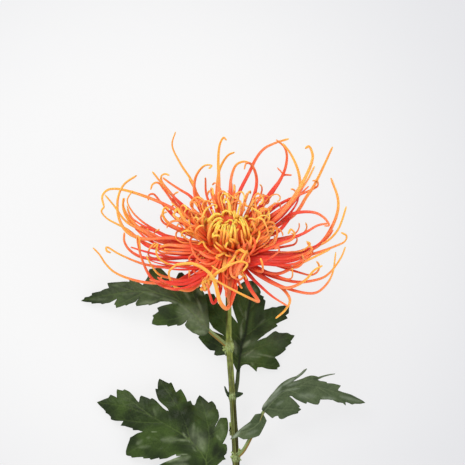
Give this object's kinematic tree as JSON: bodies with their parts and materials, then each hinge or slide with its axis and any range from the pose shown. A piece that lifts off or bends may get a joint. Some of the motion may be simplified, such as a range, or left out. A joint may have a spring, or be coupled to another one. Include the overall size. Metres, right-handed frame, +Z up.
{
  "type": "spider mum flower",
  "caption": "Cut stem with one large shaggy bloom of thin hooked tube petals, a domed centre and lobed, toothed leaves, lying on a table.",
  "frame": {"origin": "middle of the part's footprint, on the table that the cut stem lies on", "axes": "+Y along the stem from its cut end to the flower, +Z up from the table, +X to the right as seen from above"},
  "size_m": [0.1575, 0.243, 0.0943],
  "materials": {
    "ray_petals_long": "satin petal, crimson at the root, orange towards the tip",
    "ray_petals_short": "satin petal, orange with yellow hooks",
    "centre_florets": "satin petal, golden yellow",
    "calyx": "matt green bracts",
    "stem": "ridged olive-green stem",
    "leaf": "satin dark green leaf, greyer below"
  },
  "bodies": {
    "root": {"ray_petals_long": "ray_petals_long", "ray_petals_short": "ray_petals_short", "centre_florets": "centre_florets", "calyx": "calyx", "stem": "stem", "leaf_upper_left": "leaf", "leaf_upper_right": "leaf", "leaf_lower_left": "leaf", "leaf_lower_right": "leaf"}
  },
  "joints": []
}
